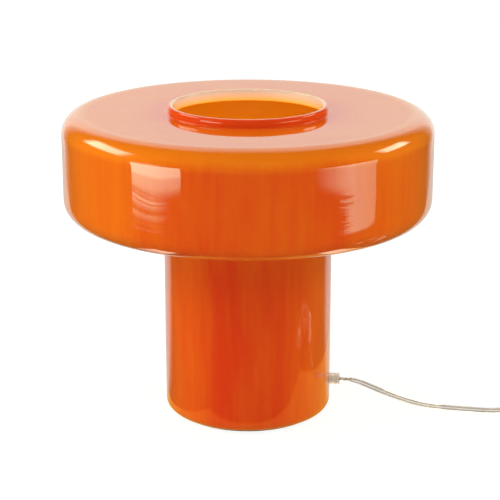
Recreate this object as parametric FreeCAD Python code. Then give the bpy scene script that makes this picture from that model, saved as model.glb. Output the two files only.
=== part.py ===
import FreeCAD, Part
import math
import os

# Table lamp: a mouth-blown drum of orange cased glass, joined at its neck to a cylindrical foot.
# All sizes in millimetres. Z is up, the table is z = 0, and the axis of the glass is the Z axis.
# The flex leaves the foot towards +X and the front of the lamp faces -Y.

V = FreeCAD.Vector
os.makedirs("parts", exist_ok=True)

# Driving sizes of the glass
DRUM_DIAMETER = 350.0
DRUM_TOP = 296.0
DRUM_BOTTOM = 196.7
DRUM_CORNER = 19.0
FOOT_DIAMETER = 161.0
FOOT_CORNER = 8.0
NECK_FILLET = 4.0
NECK_DROP = 5.0
COLLAR_RADIUS = 76.4
COLLAR_BORE = 70.5
COLLAR_HEIGHT = 6.2
PLATE_DIP = 1.6
WALL = 4.0
FLOOR_GLASS = 5.0
FELT = 2.0
KICK_RADIUS = 30.0
KICK_HEIGHT = 8.0
BASE_RISE = 20.0

# Fits: FIT for pieces that are fixed together, RUN between pieces that move apart
FIT = 0.1
RUN = 0.4

# Fixing in the foot
BOLT_DIAMETER = 6.0
NIPPLE_DIAMETER = 10.0
NIPPLE_BORE = 7.0
SEAT_RADIUS = 23.0
SEAT_PLATE = 1.5
GASKET = 1.5
STRIP = 2.0
STRIP_WIDTH = 20.0
BRACKET_REACH = 20.0
BRACKET_HEIGHT = 34.0

# Lampholder and bulb
HOLDER_RADIUS = 20.0
HOLDER_LENGTH = 59.0
HOLDER_BOSS = 8.0
HOLDER_DOME_LOW = 7.5
HOLDER_DOME_HIGH = 16.5
HOLDER_LEDGE = 20.0
HOLDER_JOINT = 29.0
CORE_HEIGHT = 14.0
SHELL_RADIUS = 13.6
BULB_DIAMETER = 60.0
BULB_LENGTH = 105.0
BULB_CAP_RADIUS = 13.2

# Flex: flat twin, its bush in the glass, and where its switch and coil lie
FLEX_WIDTH = 5.4
FLEX_THICK = 2.7
BUSH_HEIGHT = 30.0
BUSH_ANGLE = -7.0
BUSH_RADIUS = 5.4
BUSH_LENGTH = 10.0
BUSH_STEM = 4.1
SWITCH_DISTANCE = 196.0
SWITCH_SIDE = -31.0
SWITCH_LENGTH = 62.0
SWITCH_WIDTH = 25.0
SWITCH_HEIGHT = 15.0
SWITCH_WALL = 1.6
ROCKER_LENGTH = 16.8
ROCKER_WIDTH = 10.0
ROCKER_TILT = 8.0
COIL_INNER = 24.0
COIL_PITCH = 3.2
COIL_STEP = 1.7
COIL_LAYER = 5.9
COIL_TURNS = 7.25
COIL_LIFT = 1.3
TIE = 0.8
TIE_WIDTH = 10.0
PLUG_WIDTH = 35.3
PLUG_THICK = 13.7
PLUG_LENGTH = 34.0
RELIEF_LENGTH = 20.0
PIN_LENGTH = 19.0
PIN_SPACING = 19.0

DRUM_RADIUS = DRUM_DIAMETER / 2
FOOT_RADIUS = FOOT_DIAMETER / 2
LIP = DRUM_TOP + COLLAR_HEIGHT
PLATE = DRUM_TOP - PLATE_DIP
KICK = FELT + KICK_HEIGHT


def save(name, shape):
    """Write one piece and print its volume, so that an empty or open piece is noticed."""
    solids = shape.Solids
    good = shape.isValid() and len(solids) > 0 and all(s.Volume > 0 for s in solids)
    print(f"{name:18s} solids {len(solids):2d}  volume {shape.Volume / 1000:9.3f} cm3  {'ok' if good else 'BAD'}")
    shape.exportStep(f"parts/{name}.step")
    return shape


def corner_arc(before, corner, after, radius):
    """Tangent points and middle of the arc that rounds one corner of a profile."""
    a = (before - corner).normalize()
    b = (after - corner).normalize()
    half = a.getAngle(b) / 2
    back = radius / math.tan(half)
    middle = (a + b).normalize()
    centre = corner + middle * (radius / math.sin(half))
    return corner + a * back, centre - middle * radius, corner + b * back


def rounded_face(corners):
    """A face in the XZ plane from (r, z, corner radius) rows; radius 0 keeps a sharp corner."""
    points = [V(r, 0, z) for r, z, _ in corners]
    count = len(points)
    cuts = []
    for i, (_, _, radius) in enumerate(corners):
        if radius > 0:
            cuts.append(corner_arc(points[i - 1], points[i], points[(i + 1) % count], radius))
        else:
            cuts.append((points[i], None, points[i]))
    edges = []
    for i in range(count):
        start, middle, end = cuts[i]
        if middle is not None:
            edges.append(Part.Arc(start, middle, end).toShape())
        following = cuts[(i + 1) % count][0]
        if end.distanceToPoint(following) > 1e-5:
            edges.append(Part.LineSegment(end, following).toShape())
    return Part.Face(Part.Wire(edges))


def lathe(corners):
    """Turn a rounded profile about the lamp's axis."""
    solid = rounded_face(corners).revolve(V(0, 0, 0), V(0, 0, 1), 360)
    if solid.Volume < 0:
        solid.reverse()
    return solid


def ring(outer, inner, low, high):
    """A plain washer or tube about the lamp's axis."""
    solid = Part.makeCylinder(outer, high - low, V(0, 0, low))
    if inner > 0:
        solid = solid.cut(Part.makeCylinder(inner, high - low, V(0, 0, low)))
    return solid


def hexagon(across, bore, low, high):
    """A plain hexagon nut about the lamp's axis."""
    corner = across / math.sqrt(3)
    points = [V(corner * math.cos(math.radians(60 * k)), corner * math.sin(math.radians(60 * k)), low)
              for k in range(7)]
    solid = Part.Face(Part.makePolygon(points)).extrude(V(0, 0, high - low))
    return solid.cut(Part.makeCylinder(bore, high - low, V(0, 0, low)))


def box(x0, x1, y0, y1, z0, z1):
    return Part.makeBox(x1 - x0, y1 - y0, z1 - z0, V(x0, y0, z0))


def round_edges(solid, radius, keep):
    """Fillet the edges that the test keeps."""
    return solid.makeFillet(radius, [e for e in solid.Edges if keep(e)])


def flex_section(at, along, wide):
    """The flat twin's outline, square to its run: two straight sides and two round ends."""
    along = V(along).normalize()
    thin = along.cross(V(wide)).normalize()
    wide = thin.cross(along).normalize()
    end = FLEX_THICK / 2
    side = FLEX_WIDTH / 2 - end
    a = at + wide * side + thin * end
    b = at + wide * side - thin * end
    c = at - wide * side - thin * end
    d = at - wide * side + thin * end
    edges = [Part.Arc(a, at + wide * (side + end), b).toShape(), Part.LineSegment(b, c).toShape(),
             Part.Arc(c, at - wide * (side + end), d).toShape(), Part.LineSegment(d, a).toShape()]
    return Part.Wire(edges)


FLEX_AREA = FLEX_THICK * (FLEX_WIDTH - FLEX_THICK) + math.pi * FLEX_THICK ** 2 / 4


def sweep(name, path, start, along, wide):
    """The flex along one path; its volume is compared with section times length."""
    pipe = Part.BRepOffsetAPI.MakePipeShell(path)
    pipe.add(flex_section(start, along, wide))
    pipe.build()
    pipe.makeSolid()
    solid = pipe.shape()
    if solid.Volume < 0:
        solid.reverse()
    ratio = solid.Volume / (FLEX_AREA * path.Length)
    print(f"  {name}: length {path.Length:.1f} mm, volume over section times length {ratio:.4f}")
    return solid


def route(points):
    """Straight runs joined by tangent arcs, with the radius of each bend."""
    edges = []
    radii = []
    last = points[0]
    for before, corner, after in zip(points, points[1:], points[2:]):
        turn = (corner - before).getAngle(after - corner)
        run = min((corner - before).Length, (after - corner).Length)
        radius = 0.45 * run / math.tan(turn / 2)
        start, middle, end = corner_arc(before, corner, after, radius)
        edges.append(Part.LineSegment(last, start).toShape())
        edges.append(Part.Arc(start, middle, end).toShape())
        radii.append(radius)
        last = end
    edges.append(Part.LineSegment(last, points[-1]).toShape())
    return Part.Wire(edges), radii


# Glass: one closed profile, first the outside from the fixing hole up to the lip, then the inside
fixing_hole = BOLT_DIAMETER / 2 + 2.0
glass = lathe([
    (fixing_hole, KICK, 0),
    (KICK_RADIUS - 4, KICK, 4),
    (KICK_RADIUS + 4, FELT, 4),
    (FOOT_RADIUS, FELT, FOOT_CORNER),
    (FOOT_RADIUS, DRUM_BOTTOM, NECK_FILLET),
    (DRUM_RADIUS, DRUM_BOTTOM, DRUM_CORNER),
    (DRUM_RADIUS, DRUM_TOP, DRUM_CORNER),
    (COLLAR_RADIUS - 1.2, PLATE, 1.2),
    (COLLAR_RADIUS, 0.5 * (PLATE + LIP), 3.5),
    (COLLAR_RADIUS - 1.2, LIP, 2),
    (COLLAR_BORE, LIP, 1.8),
    (COLLAR_BORE, PLATE - WALL, 3),
    (DRUM_RADIUS - WALL, DRUM_TOP - WALL, DRUM_CORNER - WALL),
    (DRUM_RADIUS - WALL, DRUM_BOTTOM + WALL, DRUM_CORNER - WALL),
    (FOOT_RADIUS - WALL, DRUM_BOTTOM + WALL, NECK_FILLET + WALL),
    (FOOT_RADIUS - WALL, FELT + FLOOR_GLASS, FOOT_CORNER - 2),
    (KICK_RADIUS + 6, FELT + FLOOR_GLASS, 4),
    (KICK_RADIUS - 2, KICK + FLOOR_GLASS, 4),
    (fixing_hole, KICK + FLOOR_GLASS, 0),
])


def at_bush(solid):
    """Pieces of the bush are drawn along +X at the foot and turned to where the flex leaves."""
    solid = solid.copy()
    solid.rotate(V(0, 0, 0), V(0, 0, 1), BUSH_ANGLE)
    return solid


def along_x(radius, x0, x1):
    return Part.makeCylinder(radius, x1 - x0, V(x0, 0, BUSH_HEIGHT), V(1, 0, 0))


glass = glass.cut(at_bush(along_x(BUSH_STEM + 0.2, FOOT_RADIUS - 3 * WALL, FOOT_RADIUS + WALL)))

# The drum and the foot are blown apart and joined a little below the drum, out of sight under it.
# The foot is one piece of glass; its straight wall and its dished base are kept as two simple solids.
seam = DRUM_BOTTOM - NECK_DROP
base_top = FELT + BASE_RISE
span = DRUM_RADIUS + WALL
save("glass_drum", glass.common(box(-span, span, -span, span, seam, LIP + WALL)))
save("glass_foot", glass.common(box(-span, span, -span, span, base_top, seam)))
save("glass_base", glass.common(box(-span, span, -span, span, -WALL, base_top)))

# Felt under the foot and the clamp through the bottom of the glass
save("felt_ring", ring(FOOT_RADIUS - FOOT_CORNER - 1, KICK_RADIUS + 8, 0, FELT))
bolt_hole = BOLT_DIAMETER / 2 + FIT
top_glass = KICK + FLOOR_GLASS
seat = top_glass + GASKET
web = seat + SEAT_PLATE
save("lower_washer", ring(12.0, bolt_hole, KICK - 1.5, KICK))
save("bolt_disc", ring(11.0, bolt_hole, KICK - 3.0, KICK - 1.5))
nut_top = KICK - 3.0
nut_low = nut_top - 5.0
save("bolt_nut", hexagon(10.0, bolt_hole, nut_low, nut_top))
save("seat_gasket", ring(SEAT_RADIUS, bolt_hole, top_glass, seat))
save("seat_plate", ring(SEAT_RADIUS - 1, bolt_hole, seat, web))

# Bracket: one steel strip bent into a C, its foot under the bolt and its arm carrying the holder
arm = web + BRACKET_HEIGHT
half = STRIP_WIDTH / 2
reach = 12.0
bracket = Part.Face(Part.makePolygon([
    V(reach, -half, web), V(-BRACKET_REACH, -half, web), V(-BRACKET_REACH, -half, arm), V(reach, -half, arm),
    V(reach, -half, arm - STRIP), V(STRIP - BRACKET_REACH, -half, arm - STRIP),
    V(STRIP - BRACKET_REACH, -half, web + STRIP), V(reach, -half, web + STRIP), V(reach, -half, web)]))
bracket = bracket.extrude(V(0, STRIP_WIDTH, 0))


def bend_edge(edge, x):
    """The long edges of the two bends, across the strip at one face of the leg."""
    a, b = edge.Vertexes[0].Point, edge.Vertexes[-1].Point
    return abs(a.x - x) < 1e-4 and abs(b.x - x) < 1e-4 and abs(a.y - b.y) > STRIP_WIDTH - 1e-3


bracket = round_edges(bracket, STRIP + 1, lambda e: bend_edge(e, -BRACKET_REACH))
bracket = round_edges(bracket, 1.0, lambda e: bend_edge(e, STRIP - BRACKET_REACH))
bracket = bracket.cut(Part.makeCylinder(bolt_hole, 3 * STRIP, V(0, 0, web - STRIP)))
bracket = bracket.cut(Part.makeCylinder(NIPPLE_DIAMETER / 2 + FIT, 3 * STRIP, V(0, 0, arm - 2 * STRIP)))
save("holder_bracket", bracket)

bolt_low = nut_low - 0.8
bolt = Part.makeCylinder(BOLT_DIAMETER / 2, web + STRIP - bolt_low, V(0, 0, bolt_low))
head = lathe([(0, web + STRIP, 0), (5.5, web + STRIP, 0), (5.5, web + STRIP + 3.2, 2.2), (0, web + STRIP + 3.2, 0)])
save("clamp_bolt", bolt.fuse(head).removeSplitter())

# Threaded tube that carries the holder and lets the flex through
nipple_low = arm - 7.0
nipple_high = arm + 10.3
nipple = ring(NIPPLE_DIAMETER / 2, NIPPLE_BORE / 2, nipple_low, nipple_high)
save("nipple", nipple)
save("nipple_nut", hexagon(14.0, NIPPLE_DIAMETER / 2 + FIT, arm - STRIP - 3.0, arm - STRIP))
holder = arm + 1.0
save("nipple_washer", ring(9.0, NIPPLE_DIAMETER / 2 + FIT, arm, holder))

# Lampholder: a domed cap, a sleeve that screws into it and clamps a porcelain core
h = HOLDER_RADIUS
ledge = holder + HOLDER_LEDGE
joint = holder + HOLDER_JOINT
save("holder_cap", lathe([
    (NIPPLE_DIAMETER / 2 + FIT, holder, 0), (HOLDER_BOSS, holder, 1), (HOLDER_BOSS, holder + HOLDER_DOME_LOW, 4),
    (h, holder + HOLDER_DOME_HIGH, 6),
    (h, joint, 0), (h - 2.2, joint, 0), (h - 2.2, ledge, 0), (h - 5.5, ledge, 0), (h - 5.5, ledge - 2.5, 2),
    (NIPPLE_DIAMETER / 2 + FIT, holder + 9.5, 0)]))
core = ledge + CORE_HEIGHT
sleeve_top = holder + HOLDER_LENGTH
save("holder_sleeve", lathe([
    (h - 2.2 - FIT, ledge + 2, 0), (h - 2.2 - FIT, joint, 0), (h, joint, 0), (h, sleeve_top, 1.2),
    (SHELL_RADIUS + 1.2, sleeve_top, 1), (SHELL_RADIUS + 1.2, core, 0), (h - 4.4, core, 0), (h - 4.4, ledge + 2, 0)]))
insert = ring(h - 2.4, 0, ledge, ledge + 2)
insert = insert.fuse(ring(h - 4.4 - FIT, 0, ledge + 2, core)).removeSplitter()
terminals = [V(9.5, 0, ledge), V(-9.5, 0, ledge)]
for place in terminals:
    insert = insert.cut(Part.makeCylinder(1.6, 6.0, place))
save("holder_core", insert)
screws = []
for place in terminals:
    shank = Part.makeCylinder(1.5, 7.2, place - V(0, 0, 1.2))
    disc = Part.makeCylinder(3.0, 2.0, place - V(0, 0, 2.2))
    slot = box(place.x - 3, place.x + 3, -0.4, 0.4, ledge - 2.2, ledge - 1.4)
    screws.append(shank.fuse(disc).removeSplitter().cut(slot))
save("terminal_screws", Part.makeCompound(screws))
shell = ring(SHELL_RADIUS + 0.6, SHELL_RADIUS, core, core + 22.0)
save("screw_shell", shell.fuse(ring(SHELL_RADIUS + 0.6, 12.2, core, core + 0.6)).removeSplitter())
tongue = box(-10, 6, -3, 3, core, core + 0.6)
save("centre_contact", tongue.fuse(Part.makeCylinder(3.0, 1.0, V(0, 0, core))).removeSplitter())

# Bulb: an opal envelope on a screw cap, resting a hair above the holder's contact
low = core + 1.0 + 0.3
top = low + BULB_LENGTH
b = BULB_DIAMETER / 2
cap_low = low + 6.2
cap_top = low + 28.0
save("bulb_contact", lathe([(0, low, 0), (4.8, low, 1.2), (4.8, low + 2, 0), (0, low + 2, 0)]))
save("bulb_insulator", lathe([
    (0, low + 2, 0), (5.2, low + 2, 0), (BULB_CAP_RADIUS - 0.1, cap_low, 0), (0, cap_low, 0)]))
save("bulb_cap", ring(BULB_CAP_RADIUS, BULB_CAP_RADIUS - 0.5, cap_low, cap_top))
skin = 0.9
neck = BULB_CAP_RADIUS + 1.0
save("bulb_envelope", lathe([
    (0, top, 0), (b, top, b - 0.01), (b, top - b - 14, 46), (neck, top - 71, 22), (neck, cap_top, 0),
    (BULB_CAP_RADIUS - 0.6, cap_top, 0), (BULB_CAP_RADIUS - 0.6, cap_top - 10, 0),
    (BULB_CAP_RADIUS - 0.6 - skin, cap_top - 10, 0), (BULB_CAP_RADIUS - 0.6 - skin, cap_top + skin, 0),
    (neck - skin, cap_top + skin, 0), (neck - skin, top - 71, 22 + skin),
    (b - skin, top - b - 14, 46 - skin), (b - skin, top - skin, b - skin - 0.01), (0, top - skin, 0)]))

# Flex bush: a clear plastic sleeve through the side of the foot with a nut inside
inside = FOOT_RADIUS - WALL
bush_end = FOOT_RADIUS + BUSH_LENGTH
stem_end = inside - 9.0
bush = along_x(BUSH_RADIUS, FOOT_RADIUS, bush_end).fuse(along_x(BUSH_STEM, stem_end, FOOT_RADIUS))
bush = bush.removeSplitter()
bush = round_edges(bush, 0.8, lambda e: abs(e.BoundBox.XMin - bush_end) < 1e-4 and e.BoundBox.YLength > 1)
bore = FLEX_WIDTH / 2 + 0.3
bush = bush.cut(along_x(bore, stem_end - 1, bush_end + 1))
save("flex_bush", at_bush(bush))
nut_corner = 12.0 / math.sqrt(3)
nut_face = math.sqrt(inside ** 2 - nut_corner ** 2) - 0.05
nut = hexagon(12.0, BUSH_STEM + FIT, 0, 4.0)
nut.rotate(V(0, 0, 0), V(0, 1, 0), 90)
nut.translate(V(nut_face - 4.0, 0, BUSH_HEIGHT))
save("bush_nut", at_bush(nut))

# Flex inside the foot: through the bush, level towards the axis, then up the threaded tube
out = V(math.cos(math.radians(BUSH_ANGLE)), math.sin(math.radians(BUSH_ANGLE)), 0)
across = V(0, 0, 1).cross(out)
bend = NIPPLE_DIAMETER / 2 + 9.0
inner_top = ledge - 7.0
turn_start = out * bend + V(0, 0, BUSH_HEIGHT)
turn_end = V(0, 0, BUSH_HEIGHT + bend)
turn_centre = out * bend + V(0, 0, BUSH_HEIGHT + bend)
turn_middle = turn_centre - (out + V(0, 0, 1)).normalize() * bend
bush_face = out * bush_end + V(0, 0, BUSH_HEIGHT)
inner_path = Part.Wire([
    Part.LineSegment(bush_face, turn_start).toShape(),
    Part.Arc(turn_start, turn_middle, turn_end).toShape(),
    Part.LineSegment(turn_end, V(0, 0, inner_top)).toShape()])
save("flex_inner", sweep("flex_inner", inner_path, bush_face, out * -1, across))
cores = []
for side, place in zip((1, -1), terminals):
    start = V(0, 0, inner_top) + across * (side * 1.3)
    if start.distanceToPoint(place) > (V(0, 0, inner_top) - across * (side * 1.3)).distanceToPoint(place):
        start = V(0, 0, inner_top) - across * (side * 1.3)
    end = V(place.x * 0.8, 0, ledge - 2.2)
    run = (end - start).normalize() * 3
    wire = Part.makeCylinder(0.9, (end - start + run * 2).Length, start - run, run)
    cores.append(wire.common(box(-h, h, -h, h, inner_top, ledge - 2.2)))
save("flex_cores", Part.makeCompound(cores))

# Flex outside: it droops from the bush to the table and runs out to the switch
rest = FLEX_WIDTH / 2 + 0.1
port = SWITCH_HEIGHT / 2
entry = V(bush_face.x + SWITCH_DISTANCE, SWITCH_SIDE, port)
x0 = bush_face.x
y0 = bush_face.y
lead_points = [
    bush_face,
    bush_face + out * 9,
    V(x0 + 22, y0 - 2.2, BUSH_HEIGHT - 3.4),
    V(x0 + 35, y0 - 2.8, BUSH_HEIGHT - 9.0),
    V(x0 + 49, y0 - 3.2, BUSH_HEIGHT - 15.2),
    V(x0 + 66, y0 - 4.2, rest + 6.0),
    V(x0 + 86, y0 - 5.9, rest + 1.0),
    V(x0 + 107, y0 - 8.6, rest),
    V(x0 + 128, y0 - 12.6, rest),
    V(x0 + 150, y0 - 17.2, rest + 0.2),
    V(x0 + 173, entry.y + 0.4, port - 1.0),
    entry,
]
lead_path, radii = route(lead_points)
print("  flex_lead radii", " ".join(f"{r:.0f}" for r in radii), "mm")
save("flex_lead", sweep("flex_lead", lead_path, bush_face, lead_points[1] - lead_points[0], V(0, 0, 1)))

# Switch on the flex: two half shells, a rocker on trunnions and brass contacts
sx = entry.x
mid = sx + SWITCH_LENGTH / 2
sy = SWITCH_SIDE
w = SWITCH_WIDTH / 2


def switch_block(inset, low_z, high_z, radius):
    """A block with the outline of the switch, pulled in on all sides."""
    solid = box(sx + inset, sx + SWITCH_LENGTH - inset, sy - w + inset, sy + w - inset, low_z, high_z)
    return round_edges(solid, radius, lambda e: e.BoundBox.ZLength > 1)


outer = switch_block(0, 0, SWITCH_HEIGHT, 9.0)
outer = round_edges(outer, 2.0, lambda e: e.BoundBox.ZLength < 1e-3)
hollow = switch_block(SWITCH_WALL, SWITCH_WALL, SWITCH_HEIGHT - SWITCH_WALL, 9.0 - SWITCH_WALL)
case = outer.cut(hollow)
posts = []
for x, y in ((sx + 9, sy + 7.5), (sx + SWITCH_LENGTH - 9, sy - 7.5)):
    posts.append((x, y))
    case = case.fuse(Part.makeCylinder(2.6, SWITCH_HEIGHT - 2, V(x, y, 1)))
port_hole = Part.makeCylinder(FLEX_WIDTH / 2 + 0.3, SWITCH_LENGTH + 2, V(sx - 1, sy, port), V(1, 0, 0))
case = case.cut(port_hole).removeSplitter()
for x, y in posts:
    case = case.cut(Part.makeCylinder(1.3, SWITCH_HEIGHT - 4, V(x, y, -1)))
    case = case.cut(Part.makeCylinder(2.1, 2.5, V(x, y, -1)))
pivot_z = SWITCH_HEIGHT - 4.0
trunnion = 1.5
cradle = 2.4
window = box(mid - ROCKER_LENGTH / 2 - 1.3, mid + ROCKER_LENGTH / 2 + 1.3,
             sy - ROCKER_WIDTH / 2 - RUN, sy + ROCKER_WIDTH / 2 + RUN, pivot_z - 1, SWITCH_HEIGHT + 1)
lower = case.common(box(sx - 5, sx + SWITCH_LENGTH + 5, sy - w - 5, sy + w + 5, -1, port))
upper = case.common(box(sx - 5, sx + SWITCH_LENGTH + 5, sy - w - 5, sy + w + 5, port, SWITCH_HEIGHT + 1))
pivot_bore = Part.makeCylinder(trunnion + 0.1, SWITCH_WIDTH, V(mid, sy - w, pivot_z), V(0, 1, 0))
for side in (-1, 1):
    y_in = sy + side * (ROCKER_WIDTH / 2 + RUN)
    y_out = y_in + side * 3.0
    lower = lower.fuse(box(mid - cradle, mid + cradle, min(y_in, y_out), max(y_in, y_out), 1.0, pivot_z + 0.6))
upper = upper.cut(box(mid - cradle - 0.3, mid + cradle + 0.3, sy - ROCKER_WIDTH / 2 - 4, sy + ROCKER_WIDTH / 2 + 4,
                      port - 1, pivot_z + 0.9))
slot = box(mid - trunnion - 0.1, mid + trunnion + 0.1, sy - w + 1.7, sy + w - 1.7, pivot_z, pivot_z + 2)
lower = lower.cut(pivot_bore.common(hollow)).cut(slot).removeSplitter()
save("switch_base", lower)
save("switch_cover", upper.cut(window).removeSplitter())
r = ROCKER_LENGTH / 2
rocker = Part.Face(Part.makePolygon([
    V(mid - r, sy - ROCKER_WIDTH / 2, pivot_z - 2), V(mid + r, sy - ROCKER_WIDTH / 2, pivot_z - 2),
    V(mid + r, sy - ROCKER_WIDTH / 2, pivot_z + 5.6), V(mid, sy - ROCKER_WIDTH / 2, pivot_z + 4.7),
    V(mid - r, sy - ROCKER_WIDTH / 2, pivot_z + 5.6), V(mid - r, sy - ROCKER_WIDTH / 2, pivot_z - 2)]))
rocker = rocker.extrude(V(0, ROCKER_WIDTH, 0))
rocker = round_edges(rocker, 0.6, lambda e: e.BoundBox.ZMin > pivot_z + 4)
pin = Part.makeCylinder(trunnion, ROCKER_WIDTH + 2 * RUN + 5.0,
                        V(mid, sy - ROCKER_WIDTH / 2 - RUN - 2.5, pivot_z), V(0, 1, 0))
rocker = rocker.fuse(pin).removeSplitter()
rocker.rotate(V(mid, sy, pivot_z), V(0, 1, 0), -ROCKER_TILT)
save("switch_rocker", rocker)
contacts = []
for side in (-1, 1):
    near = mid + side * 4.5
    far = mid + side * 22.0
    strip = box(min(near, far), max(near, far), sy - 4.4, sy - 0.4, SWITCH_WALL, SWITCH_WALL + 0.8)
    block = box(min(far, far - side * 6), max(far, far - side * 6), sy - 4.4, sy - 0.4, SWITCH_WALL, SWITCH_WALL + 5)
    button = Part.makeCylinder(1.4, 1.8, V(near + side * 2, sy - 2.4, SWITCH_WALL))
    contacts.append(strip.fuse(block).fuse(button).removeSplitter())
save("switch_contacts", Part.makeCompound(contacts))
save("switch_core", Part.makeCylinder(1.0, SWITCH_LENGTH - 18, V(sx + 9, sy + 3.2, SWITCH_WALL + 1.0), V(1, 0, 0)))
case_screws = []
for x, y in posts:
    shank = Part.makeCylinder(1.2, SWITCH_HEIGHT - 6.2, V(x, y, 0.7))
    disc = Part.makeCylinder(2.0, 0.8, V(x, y, 0.7))
    case_screws.append(shank.fuse(disc).removeSplitter())
save("switch_screws", Part.makeCompound(case_screws))

# Flex from the switch into the coil: a gentle half circle towards the front
exit_face = V(sx + SWITCH_LENGTH, sy, port)
step = 16.0
turns = [V(math.cos(math.radians(a)), -math.sin(math.radians(a)), 0) for a in (0, 25, 50, 72, 90)]
coil_low = COIL_LIFT + FLEX_WIDTH / 2
heights = [port, port - 0.3, port - 1.6, coil_low + 0.9, coil_low + 0.1, coil_low]
tail_points = [exit_face]
for i, heading in enumerate(turns):
    here = tail_points[-1] + heading * step
    tail_points.append(V(here.x, here.y, heights[i + 1]))
link_path, radii = route(tail_points)
print("  flex_link radii", " ".join(f"{r:.0f}" for r in radii), "mm")
save("flex_link", sweep("flex_link", link_path, exit_face, tail_points[1] - tail_points[0], V(0, 0, 1)))

# Put-away coil: in towards the middle on the lower layer, up a layer at the reversal, out on the upper layer
coil_start = tail_points[-1]
heading = (tail_points[-1] - tail_points[-2]).normalize()
mid_turn = COIL_TURNS / 2


def smooth(x):
    x = max(0.0, min(1.0, x))
    return x * x * (3 - 2 * x)


def coil_radius(turn):
    """Radius at a turn counted from the reversal; the reversal itself keeps a step clear of its neighbours."""
    away = abs(turn)
    soft = away if away > 0.25 else 2 * away * away + 0.125
    return COIL_INNER + COIL_PITCH * soft + COIL_STEP * smooth((away - 0.25) / 0.5)


coil_outer = coil_radius(mid_turn)
straight = FLEX_WIDTH
coil_centre = V(coil_start.x - coil_outer, coil_start.y - straight, 0)


def coil_point(count):
    """A point of the coil after a number of turns; it is wound clockwise from its right-hand side."""
    angle = -2 * math.pi * count
    radius = coil_radius(count - mid_turn)
    height = coil_low + COIL_LAYER * smooth((count - mid_turn + 0.25) / 0.5)
    return coil_centre + V(radius * math.cos(angle), radius * math.sin(angle), height)


def coil_heading(count):
    return (coil_point(count + 1e-4) - coil_point(count - 1e-4)).normalize()


def biarc(p, s, q, t):
    """Two arcs that join two points and leave both in the given directions."""
    chord = q - p
    total = chord.dot(s + t)
    close = 2 * (1 - s.dot(t))
    reach_ = (-total + math.sqrt(total * total + close * chord.dot(chord))) / close
    a = p + s * reach_
    c = q - t * reach_
    joint_ = (a + c) * 0.5
    arcs = []
    for start_, corner_, end_ in ((p, a, joint_), (joint_, c, q)):
        chord_mid = (start_ + end_) * 0.5
        share = (end_ - start_).Length / 2 / reach_
        arcs.append(Part.Arc(start_, chord_mid + (corner_ - chord_mid) * (share / (1 + share)), end_).toShape())
    return arcs


quarters = int(round(COIL_TURNS * 4))
counts = [k / 4 for k in range(quarters + 1)]
places = [coil_point(c) for c in counts]
headings = [coil_heading(c) for c in counts]
headings[0] = V(0, -1, 0)
headings[-1] = V(headings[-1].x, headings[-1].y, 0).normalize()
edges = [Part.LineSegment(coil_start, places[0]).toShape()]
for i in range(quarters):
    edges += biarc(places[i], headings[i], places[i + 1], headings[i + 1])
coil_end = places[-1] + headings[-1] * straight
edges.append(Part.LineSegment(places[-1], coil_end).toShape())
coil_path = Part.Wire(edges)
save("flex_coil", sweep("flex_coil", coil_path, coil_start, V(0, -1, 0), V(0, 0, 1)))

# Least gap of the coil to itself, on points of its outline one layer or one turn apart
samples = 240
outline = []
for k in range(int(COIL_TURNS * samples) + 1):
    turn = k / samples
    at = coil_point(turn)
    side_way = coil_heading(turn).cross(V(0, 0, 1)).normalize()
    reach_up = FLEX_WIDTH / 2 - FLEX_THICK / 2
    outline.append([at + V(0, 0, u * reach_up) + side_way * 0 for u in (-1, -0.5, 0, 0.5, 1)])
least = 1e9
for k in range(len(outline)):
    for back in range(1, int(COIL_TURNS) + 1):
        for shift in (-6, -3, 0, 3, 6):
            other = k - back * samples + shift
            if 0 <= other < k - samples // 2:
                for a in outline[k]:
                    for c in outline[other]:
                        least = min(least, (a - c).Length)
print(f"  flex_coil least gap to itself {least - FLEX_THICK:.2f} mm, across {2 * coil_outer + FLEX_THICK:.1f} mm")

# Tie round the bundle on its left side
spread = [coil_radius(c - mid_turn) for c in counts if abs(c % 1 - 0.5) < 0.01]
tie_in = min(spread) - FLEX_THICK / 2 - 1.0
tie_out = max(spread) + FLEX_THICK / 2 + 0.3
tie_high = coil_low + COIL_LAYER + FLEX_WIDTH / 2 + 0.2
tie_low = TIE + 0.2
tie = box(-tie_out - TIE, -tie_in + TIE, -TIE_WIDTH / 2, TIE_WIDTH / 2, tie_low - TIE, tie_high + TIE)
tie = round_edges(tie, 1.2, lambda e: e.BoundBox.YLength > 1)
gap = box(-tie_out, -tie_in, -TIE_WIDTH / 2 - 1, TIE_WIDTH / 2 + 1, tie_low, tie_high)
gap = round_edges(gap, 0.5, lambda e: e.BoundBox.YLength > 1)
tie = tie.cut(gap)
tie.translate(coil_centre)
save("coil_tie", tie)

# Last run of the flex and the two-pin plug that lies beside the coil
plug_z = PLUG_THICK / 2
run = 12.0
way = headings[-1]
end_points = [coil_end]
for height in (coil_end.z - 0.05, plug_z + 0.05, plug_z):
    here = end_points[-1] + way * run
    end_points.append(V(here.x, here.y, height))
end_path, radii = route(end_points)
print("  flex_end radii", " ".join(f"{r:.0f}" for r in radii), "mm")
save("flex_end", sweep("flex_end", end_path, coil_end, end_points[1] - end_points[0], V(0, 0, 1)))


def at_plug(solid):
    """The plug is drawn along +X from the flex and turned to where the flex ends."""
    solid = solid.copy()
    solid.rotate(V(0, 0, 0), V(0, 0, 1), math.degrees(math.atan2(way.y, way.x)))
    solid.translate(end_points[-1])
    return solid


wide = PLUG_WIDTH / 2
thick = PLUG_THICK / 2
front = RELIEF_LENGTH + PLUG_LENGTH
shoulder = RELIEF_LENGTH + 0.35 * PLUG_LENGTH


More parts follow.
